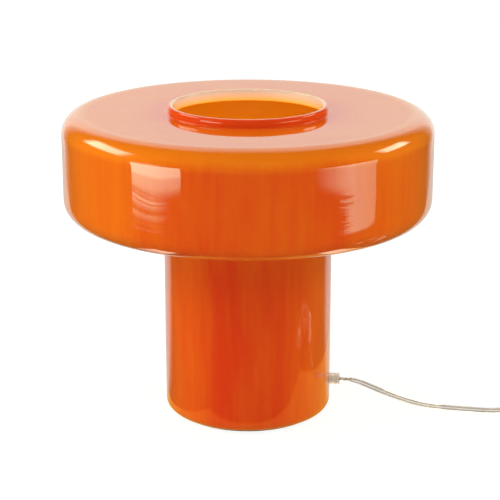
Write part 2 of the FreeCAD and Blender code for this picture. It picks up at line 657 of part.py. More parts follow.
def plug_outline(x, half_width, half_thick):
    """The plug's flat six-sided section."""
    lean = half_width - 0.8 * half_thick
    corners = [V(x, half_width, 0), V(x, lean, half_thick), V(x, -lean, half_thick), V(x, -half_width, 0),
               V(x, -lean, -half_thick), V(x, lean, -half_thick), V(x, half_width, 0)]
    return Part.makePolygon(corners)


grip = Part.makeLoft([plug_outline(RELIEF_LENGTH, 8.5, 5.2), plug_outline(shoulder, wide - 1.5, thick - 0.3)], True, True)
block = Part.makeLoft([plug_outline(shoulder, wide - 1.5, thick - 0.3), plug_outline(front, wide, thick)], True, True)
relief = Part.makeCone(3.4, 4.6, RELIEF_LENGTH, V(0, 0, 0), V(1, 0, 0))
for k in range(5):
    groove = Part.makeCylinder(6.0, 1.4, V(2.6 + 3.2 * k, 0, 0), V(1, 0, 0))
    groove = groove.cut(Part.makeCylinder(3.1, 1.4, V(2.6 + 3.2 * k, 0, 0), V(1, 0, 0)))
    relief = relief.cut(groove)
plug = grip.fuse(block).fuse(relief).removeSplitter()
pins = []
sleeves = []
for side in (-1, 1):
    y = side * PIN_SPACING / 2
    plug = plug.cut(Part.makeCylinder(1.5 + FIT, 9.0, V(front - 9, y, 0), V(1, 0, 0)))
    shaft = Part.makeCylinder(1.5, 8.5 + 10.0, V(front - 8.5, y, 0), V(1, 0, 0))
    tip = Part.makeCylinder(2.0, PIN_LENGTH - 10.0, V(front + 10.0, y, 0), V(1, 0, 0))
    tip = round_edges(tip, 1.2, lambda e: abs(e.BoundBox.XMin - front - PIN_LENGTH) < 1e-4)
    pins.append(shaft.fuse(tip).removeSplitter())
    tube = Part.makeCylinder(1.9, 10.0, V(front, y, 0), V(1, 0, 0))
    sleeves.append(tube.cut(Part.makeCylinder(1.5 + FIT, 10.0, V(front, y, 0), V(1, 0, 0))))
save("plug_body", at_plug(plug))
save("plug_pins", at_plug(Part.makeCompound(pins)))
save("pin_sleeves", at_plug(Part.makeCompound(sleeves)))
total = lead_path.Length + SWITCH_LENGTH + link_path.Length + coil_path.Length + end_path.Length
print(f"  flex outside the lamp {total:.0f} mm; rocker pivot at x {mid:.2f} y {sy:.2f} z {pivot_z:.2f}")
print(f"  coil centre {coil_centre.x:.2f} {coil_centre.y:.2f}; coil start {coil_start.x:.2f} {coil_start.y:.2f}")
print(f"  plug from {end_points[-1].x:.1f} {end_points[-1].y:.1f} to x {end_points[-1].x + way.x * (front + PIN_LENGTH):.1f}")
print(f"  bulb from z {low:.2f} to {top:.2f}; holder top {sleeve_top:.2f}; bracket arm {arm:.2f}")
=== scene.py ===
# %% [markdown]
# # A table lamp of orange cased glass
# The lamp is a wide, low drum with an open collar on a cylindrical foot, blown in orange glass over white.
# A clear twin flex leaves the foot on the right. Its switch, coil and plug lie just outside the picture.
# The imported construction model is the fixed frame: every piece made here sits where that model says, in metres.

# %% Load the frame
import bpy
import bmesh
import math
from mathutils import Matrix, Vector


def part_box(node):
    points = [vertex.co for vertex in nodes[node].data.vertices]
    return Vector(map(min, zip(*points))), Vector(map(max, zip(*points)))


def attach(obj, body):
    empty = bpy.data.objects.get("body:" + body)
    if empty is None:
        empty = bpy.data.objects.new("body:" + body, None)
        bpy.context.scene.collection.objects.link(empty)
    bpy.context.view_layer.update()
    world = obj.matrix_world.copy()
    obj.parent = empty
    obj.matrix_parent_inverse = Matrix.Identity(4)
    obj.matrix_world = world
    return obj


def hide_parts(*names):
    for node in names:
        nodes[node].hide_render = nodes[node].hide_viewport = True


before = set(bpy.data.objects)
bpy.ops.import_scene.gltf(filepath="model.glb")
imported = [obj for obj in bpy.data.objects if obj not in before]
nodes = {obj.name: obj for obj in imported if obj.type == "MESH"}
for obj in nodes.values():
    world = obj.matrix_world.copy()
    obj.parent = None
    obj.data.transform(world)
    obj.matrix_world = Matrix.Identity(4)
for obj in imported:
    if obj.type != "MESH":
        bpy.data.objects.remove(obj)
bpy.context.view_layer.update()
scene = bpy.context.scene
MM = 0.001
print("nodes in the frame:", len(nodes))

# %% [markdown]
# ## Camera
# The lamp was photographed from a little above, with a long lens, so its verticals stay upright.
# A camera can be dragged into place by eye, but here its distance, tilt and lens come from fitting the outline
# of drum, collar and foot, so the numbers are simply entered. The shift centres the picture as in the photograph.

# %% Camera
tilt_down = 0.293
camera_data = bpy.data.cameras.new("camera")
camera_data.sensor_width = 36.0
camera_data.lens = 111.93
camera_data.shift_x = 0.0041
camera_data.clip_end = 50.0
camera = bpy.data.objects.new("camera", camera_data)
scene.collection.objects.link(camera)
camera.location = (0.0, -1.43623, 0.59186)
camera.rotation_euler = (math.pi / 2 - tilt_down, 0.0, 0.0)
scene.camera = camera
scene.view_settings.view_transform = "Standard"
print("camera height", camera.location.z, "lens", camera_data.lens)

# %% [markdown]
# ## Small helpers for node trees
# Shader and geometry trees are built from the same two moves: add a node, then join sockets.
# One helper fills a node's inputs, with plain values or with links, and the others rest on it, so that each recipe
# below stays readable. A new group lists its inputs with their first values, and then its outputs.
# A Mix node holds sockets for every kind of value, so its colour sockets are picked by number.

# %% Node helpers
FLOAT, GEOMETRY = "NodeSocketFloat", "NodeSocketGeometry"


def fill(node, inputs):
    for name, value in inputs.items():
        if isinstance(value, bpy.types.NodeSocket):
            node.id_data.links.new(value, node.inputs[name])
        else:
            node.inputs[name].default_value = value


def add(tree, kind, inputs=None, **props):
    node = tree.nodes.new(kind)
    for name, value in props.items():
        setattr(node, name, value)
    fill(node, inputs or {})
    return node


def new_group(name, kind, takes, gives):
    tree = bpy.data.node_groups.new(name, kind)
    for label, (socket, first) in takes.items():
        made = tree.interface.new_socket(label, in_out="INPUT", socket_type=socket)
        if first is not None:
            made.default_value = first
    for label, socket in gives.items():
        tree.interface.new_socket(label, in_out="OUTPUT", socket_type=socket)
    return tree, add(tree, "NodeGroupInput").outputs, add(tree, "NodeGroupOutput")


def new_material(name):
    material = bpy.data.materials.new(name)
    material.use_nodes = True
    tree = material.node_tree
    return material, tree, tree.nodes["Principled BSDF"]


print("helpers that add and fill nodes are ready")

# %% Node helpers for values, colours and patterns
COLOUR_A, COLOUR_B, COLOUR_RESULT = 6, 7, 2


def maths(tree, operation, a, b=0.0):
    return add(tree, "ShaderNodeMath", {0: a, 1: b}, operation=operation).outputs[0]


def times(tree, a, b):
    return maths(tree, "MULTIPLY", a, b)


def spread(tree, value, low, high, start=0.0, end=1.0):
    names = {"From Min": start, "From Max": end, "To Min": low, "To Max": high, "Value": value}
    return add(tree, "ShaderNodeMapRange", names).outputs["Result"]


def rise(tree, value, start, end):
    return spread(tree, value, 0.0, 1.0, start, end)


def fall(tree, value, start, end):
    return spread(tree, value, 1.0, 0.0, start, end)


def blend_colour(tree, factor, first, second):
    node = add(tree, "ShaderNodeMix", {0: factor, COLOUR_A: first, COLOUR_B: second}, data_type="RGBA")
    return node.outputs[COLOUR_RESULT]


def object_place(tree):
    return add(tree, "ShaderNodeTexCoord").outputs["Object"]


def split(tree, vector):
    return add(tree, "ShaderNodeSeparateXYZ", {"Vector": vector}).outputs


def noise(tree, place, scale, detail, roughness=0.5, distortion=0.0):
    return add(tree, "ShaderNodeTexNoise", {"Vector": place, "Scale": scale, "Detail": detail, "Roughness": roughness,
                                            "Distortion": distortion}).outputs["Fac"]


def bump(tree, height, strength, distance):
    names = {"Height": height, "Strength": strength, "Distance": distance}
    return add(tree, "ShaderNodeBump", names).outputs["Normal"]


print("helpers for values, colours and patterns are ready")

# %% [markdown]
# ## Shared surface effects
# Real surfaces are never even: blown glass is streaked, plastic has a fine mould grain, metal is rubbed.
# Each effect is a shader node group, built once and placed in many materials with its own values.
# The groups read Object coordinates, so the patterns stay on the pieces when they move.

# %% Group: streaks of hand-blown glass
def blown_streaks_group():
    takes = {"Scale": (FLOAT, 9.0), "Pull": (FLOAT, 0.35)}
    tree, given, result = new_group("blown_streaks", "ShaderNodeTree", takes, {"Streaks": FLOAT, "Height": FLOAT})
    place = object_place(tree)
    parts = split(tree, place)
    drawn = times(tree, parts["Z"], given["Pull"])
    pulled = add(tree, "ShaderNodeCombineXYZ", {"X": parts["X"], "Y": parts["Y"], "Z": drawn})
    fine = noise(tree, pulled.outputs[0], given["Scale"], 5.0, 0.6, 0.4)
    broad = noise(tree, place, given["Scale"], 1.0, 0.4)
    long = add(tree, "ShaderNodeCombineXYZ", {"X": parts["X"], "Y": parts["Y"], "Z": times(tree, drawn, 0.25)})
    threads = noise(tree, long.outputs[0], times(tree, given["Scale"], 9.0), 3.0, 0.6)
    streaks = maths(tree, "ADD", times(tree, fine, 0.65), times(tree, threads, 0.35))
    height = maths(tree, "ADD", broad, times(tree, fine, 0.35))
    fill(result, {"Streaks": streaks, "Height": height})
    return tree


blown_streaks = blown_streaks_group()
print("group:", blown_streaks.name)

# %% Group: mould grain and handling marks
def handled_surface_group():
    takes = {"Grain size": (FLOAT, 900.0), "Smudge size": (FLOAT, 40.0), "Rough low": (FLOAT, 0.3),
             "Rough high": (FLOAT, 0.5)}
    gives = {"Smudge": FLOAT, "Roughness": FLOAT, "Height": FLOAT}
    tree, given, result = new_group("handled_surface", "ShaderNodeTree", takes, gives)
    place = object_place(tree)
    grain = noise(tree, place, given["Grain size"], 2.0)
    smudge = noise(tree, place, given["Smudge size"], 6.0, 0.65)
    rough = spread(tree, smudge, given["Rough low"], given["Rough high"], 0.3, 0.7)
    fill(result, {"Smudge": smudge, "Roughness": rough, "Height": grain})
    return tree


handled_surface = handled_surface_group()
print("group:", handled_surface.name)

# %% [markdown]
# ## Finishes
# A metal, a moulded plastic or a rubber differ in colour, gloss and grain, but are built the same way:
# the handled_surface group drives roughness and bump, and mixes two close colours. A first function does that, for
# the clear plastics further on too, and a second adds the metal, so each finish is one line of honest numbers.

# %% Handled finishes
def marked_finish(name, colour, second, rough, grain, smudge, relief):
    material, tree, shader = new_material(name)
    values = {"Grain size": grain, "Smudge size": smudge, "Rough low": rough[0], "Rough high": rough[1]}
    marks = add(tree, "ShaderNodeGroup", values, node_tree=handled_surface).outputs
    factor = rise(tree, marks["Smudge"], 0.35, 0.65)
    fill(shader, {"Base Color": blend_colour(tree, factor, (*colour, 1), (*second, 1)),
                  "Roughness": marks["Roughness"], "Normal": bump(tree, marks["Height"], relief, 0.0002)})
    return material, shader


def handled_finish(name, colour, second, rough, grain, relief, metallic=0.0, smudge=40.0):
    material, shader = marked_finish(name, colour, second, rough, grain, smudge, relief)
    fill(shader, {"Metallic": metallic})
    return material


zinc = handled_finish("zinc_steel", (0.60, 0.61, 0.62), (0.50, 0.51, 0.52), (0.24, 0.42), 1400, 0.15, 1.0)
brass = handled_finish("brass", (0.80, 0.58, 0.25), (0.68, 0.46, 0.18), (0.18, 0.34), 1500, 0.10, 1.0)
nickel = handled_finish("nickel", (0.82, 0.80, 0.76), (0.74, 0.72, 0.68), (0.30, 0.44), 1500, 0.06, 1.0)
bulb_metal = handled_finish("bulb_metal", (0.76, 0.76, 0.75), (0.66, 0.66, 0.65), (0.20, 0.36), 1300, 0.10, 1.0)
copper = handled_finish("copper", (0.52, 0.42, 0.35), (0.43, 0.34, 0.27), (0.22, 0.36), 1800, 0.20, 1.0, 120)
rubber = handled_finish("rubber", (0.035, 0.034, 0.033), (0.055, 0.054, 0.052), (0.60, 0.80), 1100, 0.30)
resin = handled_finish("holder_resin", (0.80, 0.78, 0.72), (0.74, 0.72, 0.66), (0.30, 0.46), 1000, 0.20)
porcelain = handled_finish("porcelain", (0.86, 0.84, 0.80), (0.80, 0.78, 0.73), (0.08, 0.16), 500, 0.10)
black_glass = handled_finish("bulb_black", (0.012, 0.012, 0.014), (0.025, 0.025, 0.028), (0.08, 0.20), 900, 0.10)
print("metals, rubber, resin and porcelain:", zinc.name, brass.name, nickel.name, rubber.name, resin.name)

# %% [markdown]
# ## Clear plastic
# The flex and the switch's shells are clear plastic: light goes through and shows what lies inside. The bush is
# frosted, and the rocker and the plug are milky, so less light passes straight through them.
# Transmission makes a surface see-through; a faint tint and a little unevenness keep it from looking like air.
# Roughness stays low but not zero, because moulded plastic is never as clean as glass.

# %% Clear plastics
def clear_finish(name, tint, second, rough, relief, ior, clear=1.0):
    material, shader = marked_finish(name, tint, second, rough, 700, 120, relief)
    fill(shader, {"Transmission Weight": clear, "IOR": ior})
    return material


clear_pvc = clear_finish("clear_pvc", (0.72, 0.71, 0.68), (0.66, 0.65, 0.62), (0.10, 0.22), 0.10, 1.40)
clear_shell = clear_finish("clear_shell", (0.95, 0.94, 0.91), (0.91, 0.90, 0.87), (0.08, 0.18), 0.08, 1.42)
milky_shell = clear_finish("milky_shell", (0.78, 0.745, 0.71), (0.72, 0.685, 0.65), (0.18, 0.30), 0.10, 1.46, 0.35)
frosted_pvc = clear_finish("frosted_pvc", (0.86, 0.80, 0.75), (0.80, 0.74, 0.69), (0.25, 0.40), 0.12, 1.42, 0.7)
print("clear plastics:", clear_pvc.name, clear_shell.name, milky_shell.name, frosted_pvc.name)

# %% [markdown]
# ## Cased glass
# Cased glass is two layers blown together: clear orange outside, milky white inside. The colour drifts in soft
# streaks, and the skin is a perfect gloss with a slight ripple.
# Modelling both layers with real absorption is slow and noisy, so one shader carries them: an orange body,
# a gloss of its own and a clear coat above it. The "lining" attribute, made with the mesh, says where the inside is.
# Height, distance from the axis and distance to either side, in metres, paint light and shade into the orange:
# painted light on the left and right flanks and on the shoulder, painted shade on the foot under the drum and on the
# top plate. The collar's red runs onto the plate round it as a painted reflection of the collar, and the white lining
# is painted orange lower down, a painted glow of the light that comes in through the orange glass.

# %% Cased glass
# The outside runs between a deep red and a light orange: real streaks of the glass drift it, and painted light and
# shade move it too.
deep_and_shaded_red, thin_and_lit_orange = (0.60, 0.036, 0.005, 1), (0.72, 0.155, 0.005, 1)
# The collar's own red, also used for a painted reflection of the collar on the plate round it.
collar_and_mirror_red = (0.74, 0.058, 0.008, 1)
# The lining's orange is a painted glow: white inner glass drawn orange for the light that comes through the orange
# layer.
lining_painted_glow, lining_cream, lip_cream = (0.76, 0.29, 0.008, 1), (0.46, 0.33, 0.27, 1), (0.86, 0.60, 0.44, 1)


def orange_outside(tree, parts, reach, plate, streaks):
    height = parts["Z"]
    # Painted light: the left and right flanks are drawn lighter and more yellow, where the side lamps fall.
    flank_light = spread(tree, maths(tree, "DIVIDE", maths(tree, "ABSOLUTE", parts["X"]), reach), 0.0, 0.50, 0.40, 0.95)
    # Painted shade: the foot, in the drum's shade, is drawn a deeper red than the drum.
    drum = spread(tree, height, 0.0, 0.2, 0.15, 0.21)
    # Painted light: the shoulder is drawn lighter, where light falls from above.
    lit_shoulder = spread(tree, height, 0.0, 0.75, 0.276, 0.287)
    level = maths(tree, "ADD", maths(tree, "ADD", drum, lit_shoulder), flank_light)
    # Painted shade: the top plate is drawn a deeper red, most of all next to the collar.
    plate_shade = times(tree, plate, spread(tree, reach, 0.85, 0.6, 0.080, 0.110))
    level = times(tree, level, maths(tree, "SUBTRACT", 1.0, plate_shade))
    # The real streaks of the glass are added to the painted light and shade, to set how far the colour goes from deep
    # to light.
    drift = spread(tree, streaks, -0.12, 0.28, 0.35, 0.65)
    light_and_streaks = add(tree, "ShaderNodeMath", {0: level, 1: drift}, operation="ADD", use_clamp=True).outputs[0]
    # The collar's red, carried onto the plate round it as a painted reflection of the collar.
    collar_and_mirror_ring = times(tree, plate, spread(tree, reach, 0.9, 0.0, 0.0850, 0.1080))
    return blend_colour(tree, collar_and_mirror_ring, blend_colour(tree, light_and_streaks, deep_and_shaded_red, thin_and_lit_orange), collar_and_mirror_red)


def cased_glass_finish():
    material, tree, shader = new_material("cased_glass")
    streaks = add(tree, "ShaderNodeGroup", {"Scale": 14.0, "Pull": 0.3}, node_tree=blown_streaks).outputs
    parts = split(tree, object_place(tree))
    height = parts["Z"]
    flat = add(tree, "ShaderNodeCombineXYZ", {"X": parts["X"], "Y": parts["Y"]})
    reach = add(tree, "ShaderNodeVectorMath", {0: flat.outputs[0]}, operation="LENGTH").outputs["Value"]
    plate = times(tree, fall(tree, reach, 0.150, 0.162), rise(tree, height, 0.285, 0.290))
    outside = orange_outside(tree, parts, reach, plate, streaks["Streaks"])
    # Inside: painted glow orange lower down, for the light that comes through the glass, and cream up the collar's
    # inner wall.
    inside = blend_colour(tree, rise(tree, height, 0.2905, 0.2990), lining_painted_glow, lining_cream)
    inside = blend_colour(tree, rise(tree, height, 0.3010, 0.3018), inside, lip_cream)
    lining = add(tree, "ShaderNodeAttribute", attribute_name="lining").outputs["Fac"]
    fill(shader, {"Base Color": blend_colour(tree, lining, outside, inside),
                  "Roughness": spread(tree, streaks["Streaks"], 0.03, 0.07, 0.3, 0.7),
                  "Normal": bump(tree, streaks["Height"], 0.35, 0.0012), "IOR": 1.5,
                  "Coat Weight": spread(tree, plate, 1.0, 0.5), "Coat Roughness": 0.015, "Coat IOR": 1.5,
                  "Sheen Weight": 0.2, "Sheen Roughness": 0.4, "Sheen Tint": (1.0, 0.62, 0.0, 1)})
    return material


cased_glass = cased_glass_finish()
print("glass:", cased_glass.name)

# %% [markdown]
# ## Opal bulb, felt and paper
# The bulb is milky glass: a soft satin white with a trace of warmth. Felt is a mat of short fibres, so its colour
# is speckled and its bump is fine and strong. The tie on the coil is a strip of creped paper with fine ribs across.

# %% Opal, felt and paper
opal = handled_finish("bulb_opal", (0.88, 0.86, 0.81), (0.84, 0.82, 0.77), (0.22, 0.34), 600, 0.06, smudge=18)


def felt_finish():
    material, tree, shader = new_material("felt")
    place = object_place(tree)
    fibres = noise(tree, place, 1300.0, 6.0, 0.75, 1.5)
    tufts = noise(tree, place, 160.0, 3.0)
    base = blend_colour(tree, tufts, (0.020, 0.018, 0.016, 1), (0.038, 0.034, 0.030, 1))
    speckled = blend_colour(tree, rise(tree, fibres, 0.3, 0.7), base, (0.075, 0.068, 0.060, 1))
    fill(shader, {"Base Color": speckled, "Roughness": spread(tree, fibres, 0.85, 1.0),
                  "Normal": bump(tree, maths(tree, "ADD", fibres, tufts), 0.9, 0.0006),
                  "Sheen Weight": 0.4, "Sheen Roughness": 0.6})
    return material


def paper_finish():
    material, tree, shader = new_material("tie_paper")
    place = object_place(tree)
    ribs = add(tree, "ShaderNodeTexWave", {"Vector": place, "Scale": 520.0, "Distortion": 3.0, "Detail": 2.0,
                                           "Detail Scale": 1.5}, wave_type="BANDS", bands_direction="Y")
    pulp = noise(tree, place, 300.0, 5.0)
    fill(shader, {"Base Color": blend_colour(tree, pulp, (0.74, 0.73, 0.70, 1), (0.86, 0.85, 0.82, 1)),
                  "Roughness": spread(tree, pulp, 0.7, 0.9), "Normal": bump(tree, ribs.outputs["Fac"], 0.6, 0.0003)})
    return material


felt = felt_finish()
paper = paper_finish()
print("soft finishes:", felt.name, paper.name, opal.name)

# %% [markdown]
# ## Floor and backdrop
# The photograph has a pure white ground. White from lamps alone would wash the glass out, so the floor and the
# world are white to the camera and darker to other rays: Light Path tells them apart. Glossy rays see white only
# behind and beside the lamp, so the front of the drum stays deep orange, as in the photograph. Close to the foot
# they see an orange patch with a clear front edge: the light that the glass casts on the table.

# %% Floor
def mirrored_floor(tree, parts):
    across = maths(tree, "ABSOLUTE", parts["X"])
    back = maths(tree, "DIVIDE", maths(tree, "ADD", parts["Y"], 0.10), maths(tree, "ADD", across, 0.04))
    white = spread(tree, back, 0.04, 0.62, 0.74, 1.0)
    leftwards = maths(tree, "MAXIMUM", maths(tree, "SUBTRACT", -0.085, parts["X"]), 0.0)
    edge = maths(tree, "SUBTRACT", parts["Y"], times(tree, leftwards, 7.0))
    cast = times(tree, rise(tree, edge, -0.111, -0.101), fall(tree, across, 0.190, 0.205))
    tinted = maths(tree, "SUBTRACT", rise(tree, cast, 0.0, 0.1), white)
    colour = blend_colour(tree, tinted, (1, 1, 1, 1), (1.0, 0.48, 0.07, 1))
    level = maths(tree, "MAXIMUM", white, times(tree, cast, 0.8))
    return add(tree, "ShaderNodeEmission", {"Color": colour, "Strength": level})


def floor_finish():
    material, tree, shader = new_material("pale_floor")
    place = object_place(tree)
    pale = blend_colour(tree, noise(tree, place, 300.0, 3.0), (0.56, 0.56, 0.56, 1), (0.60, 0.60, 0.60, 1))
    fill(shader, {"Base Color": pale, "Roughness": 0.9, "Specular IOR Level": 0.1})
    rays = add(tree, "ShaderNodeLightPath").outputs
    mirrored = mirrored_floor(tree, split(tree, place))
    away = add(tree, "ShaderNodeVectorMath", {0: place}, operation="LENGTH").outputs["Value"]
    level = spread(tree, away, 0.88, 1.0, 0.2, 0.6)
    bright = add(tree, "ShaderNodeEmission", {"Color": (1, 1, 1, 1), "Strength": level})
    faint = add(tree, "ShaderNodeBsdfDiffuse", {"Color": (0.16, 0.16, 0.16, 1)})
    seen = add(tree, "ShaderNodeAddShader", {0: bright.outputs[0], 1: faint.outputs[0]})
    unseen = add(tree, "ShaderNodeMixShader", {0: rays["Is Glossy Ray"], 1: shader.outputs[0], 2: mirrored.outputs[0]})
    direct = maths(tree, "MAXIMUM", rays["Is Camera Ray"], rays["Is Transmission Ray"])
    final = add(tree, "ShaderNodeMixShader", {0: direct, 1: unseen.outputs[0], 2: seen.outputs[0]})
    fill(tree.nodes["Material Output"], {"Surface": final.outputs[0]})
    return material


bpy.ops.mesh.primitive_plane_add(size=1.0, location=(0, 0, 0))
floor = bpy.context.object
floor.name = "floor"
floor.data.transform(Matrix.Diagonal((1.3, 10.0, 1.0, 1.0)))
floor.data.materials.append(floor_finish())
print("floor:", tuple(floor.dimensions))

# %% World
def studio_world():
    world = bpy.data.worlds.new("studio")
    world.use_nodes = True
    tree = world.node_tree
    tree.nodes.clear()
    rays = add(tree, "ShaderNodeLightPath").outputs
    parts = split(tree, add(tree, "ShaderNodeTexCoord").outputs["Generated"])
    across = maths(tree, "ADD", maths(tree, "ABSOLUTE", parts["X"]), 0.001)
    behind = rise(tree, maths(tree, "DIVIDE", parts["Y"], across), 1.2, 2.2)
    wall = times(tree, behind, fall(tree, parts["Z"], 0.85, 0.975))
    mirrored = spread(tree, wall, 0.03, 0.89)
    soft = spread(tree, parts["Z"], 0.28, 0.36, -0.2, 0.9)
    direct = maths(tree, "MAXIMUM", rays["Is Camera Ray"], rays["Is Transmission Ray"])
    level = add(tree, "ShaderNodeMix", {"Factor": rays["Is Glossy Ray"], "A": soft, "B": mirrored})
    total = add(tree, "ShaderNodeMix", {"Factor": direct, "A": level.outputs[0], "B": 1.0})
    light = add(tree, "ShaderNodeBackground", {"Color": (1, 1, 1, 1), "Strength": total.outputs[0]})
    add(tree, "ShaderNodeOutputWorld", {"Surface": light.outputs[0]})
    return world


scene.world = studio_world()
print("world:", scene.world.name)

# %% [markdown]
# ## Light
# Softboxes give the plain level of a studio. Each is set by its brightness, and its power follows from its size.
# The fills light the glass from all sides and stay out of its reflections. Two strips on the table, beside the
# foot, send light up under the drum, as the white table does.

# %% Softboxes
def softbox(name, place, target, wide, high, radiance, tint=(1.0, 0.98, 0.72)):
    data = bpy.data.lights.new(name, "AREA")
    data.color = tint
    data.shape = "RECTANGLE"
    data.size = wide
    data.size_y = high
    data.energy = radiance * math.pi * wide * high
    lamp = bpy.data.objects.new(name, data)
    scene.collection.objects.link(lamp)
    lamp.location = place
    lamp.rotation_euler = (Vector(target) - Vector(place)).to_track_quat("-Z", "Y").to_euler()
    lamp.visible_camera = False
    return lamp


for side, x in (("left", -0.160), ("right", 0.160)):
    strip = softbox(f"{side}_table_glow", (x, -0.04, 0.0008), (x, -0.04, 1), 0.06, 0.14, 1.0)
    strip.data.spread = math.radians(90)
fills = {
    "left_fill": ((-1.15, 0.0, 0.62), 0.9, 0.9, 3.6),
    "right_fill": ((1.15, 0.0, 0.62), 0.9, 0.9, 3.0),
    "front_fill": ((0.0, -1.3, 1.3), 1.0, 0.8, 3.2),
    "front_low_fill": ((0.0, -1.5, 0.23), 1.0, 0.36, 4.7),
    "back_fill": ((0.0, 1.45, 0.75), 1.2, 0.8, 2.6),
}
for name, (place, wide, high, radiance) in fills.items():
    softbox(name, place, (0, 0, 0.2), wide, high, radiance).visible_glossy = False

# %% [markdown]
# The two bright patches on the drum are windows of the studio. Each has a clear upper pane, brighter at its head, and
# a ragged lower part, where something on the sill stands in the light. They end at the height of the top plate, which
# would mirror them in low views. Two more, higher up at the sides and soft at the edges, make the shoulders' streaks.
# A light can carry a pattern like a material can: Parametric tells how far across (0 to 1) and how far up a point of
# the light is, and a one-dimensional noise draws the ragged edge.

# %% Window patterns
def across_and_up(lamp):
    lamp.data.use_nodes = True
    tree = lamp.data.node_tree
    parts = split(tree, add(tree, "ShaderNodeNewGeometry").outputs["Parametric"])
    return tree, parts["X"], parts["Y"]


def shine(tree, strength):
    fill(tree.nodes["Emission"], {"Strength": strength})


def ragged(tree, way, scale, low, high):
    grain = add(tree, "ShaderNodeTexNoise", {"W": way, "Scale": scale, "Detail": 2.0}, noise_dimensions="1D")
    return spread(tree, grain.outputs["Fac"], low, high, 0.35, 0.65)


def left_panes(lamp):
    tree, across, up = across_and_up(lamp)
    head = times(tree, spread(tree, up, 1.0, 1.7, 0.206, 0.218), fall(tree, up, 0.79, 0.81))
    pane = times(tree, rise(tree, up, 0.146, 0.174), spread(tree, across, 1.0, 0.75, 0.45, 1.0))
    slope = maths(tree, "SUBTRACT", up, times(tree, across, 0.008))
    streak = times(tree, ragged(tree, slope, 60.0, -0.6, 1.3), fall(tree, across, 0.45, 0.80))
    lower = times(tree, streak, rise(tree, up, 0.014, 0.111))
    shine(tree, maths(tree, "MAXIMUM", times(tree, pane, head), lower))


def right_panes(lamp):
    tree, across, up = across_and_up(lamp)
    fade = maths(tree, "MINIMUM", rise(tree, across, 0.0, 0.5), spread(tree, across, 1.0, 0.55, 0.55, 1.0))
    top = fall(tree, up, 0.80, 0.82)
    head = times(tree, spread(tree, up, 1.0, 1.6, 0.50, 0.70), top)
    upper = times(tree, rise(tree, up, 0.165, 0.195), head)
    edge = ragged(tree, up, 95.0, 0.40, 0.62)
    lower = rise(tree, maths(tree, "SUBTRACT", across, edge), -0.02, 0.02)
    lower = times(tree, times(tree, lower, rise(tree, up, 0.02, 0.04)), top)
    shine(tree, times(tree, fade, maths(tree, "MAXIMUM", upper, lower)))


def soft_edges(lamp):
    tree, across, up = across_and_up(lamp)
    ends = times(tree, rise(tree, across, 0.0, 0.2), fall(tree, across, 0.8, 1.0))
    rims = times(tree, rise(tree, up, 0.0, 0.2), fall(tree, up, 0.75, 1.0))
    shine(tree, times(tree, ends, rims))


print("window patterns ready")

# %% Windows
window_tint = (0.64, 1.0, 0.73)
left_side = softbox("left_side_window", (-0.98, 0.12, 0.76), (0, 0, 0.30), 0.84, 0.42, 5.0)
right_side = softbox("right_side_window", (1.01, 0.17, 0.74), (0, 0, 0.30), 0.58, 0.32, 5.0)
left_window = softbox("left_window", (-0.79, -0.614, 0.19), (0, 0, 0.19), 0.56, 0.46, 3.1, window_tint)
right_window = softbox("right_window", (0.832, -0.555, 0.18), (0, 0, 0.18), 0.74, 0.46, 2.4, window_tint)
soft_edges(left_side)
soft_edges(right_side)
left_panes(left_window)
right_panes(right_window)
print("windows:", left_window.name, right_window.name, left_side.name, right_side.name)

# %% [markdown]
# Light also passes through the glass and fills the drum, which is why the inside glows in the photograph.
# Tracing that through two layers is slow, so a small soft lamp hangs inside the drum and lights only what is in there.

# %% Light inside the drum
drum_data = bpy.data.lights.new("light_in_drum", "POINT")
drum_data.energy = 0.42
drum_data.color = (1.0, 0.95, 0.85)
drum_data.shadow_soft_size = 0.03
drum_light = bpy.data.objects.new("light_in_drum", drum_data)
scene.collection.objects.link(drum_light)
drum_light.location = (0.0, 0.0, 0.245)
drum_light.visible_camera = False
drum_light.visible_glossy = False
print("light in the drum:", drum_data.energy, "W")

# %% [markdown]
# ## A tree that sweeps a section along a line
# A flex, a strap or a trim has one section all along. A curve's bevel can do that, but it can't turn a flat section
# on its way. This Geometry Nodes tree takes a line of points, gives every point a tilt that eases from a first turn
# to nothing over a set length, and sweeps a drawn section along it. The result is baked to a plain mesh.

# %% Sweep tree
def end_of_tree(tree, mesh, given, result):
    smooth = add(tree, "GeometryNodeSetShadeSmooth", {"Geometry": mesh})
    whole = add(tree, "GeometryNodeRealizeInstances", {"Geometry": smooth.outputs["Geometry"]})
    dressed = add(tree, "GeometryNodeSetMaterial", {"Geometry": whole.outputs["Geometry"],
                                                    "Material": given["Material"]})
    fill(result, {"Geometry": dressed.outputs["Geometry"]})


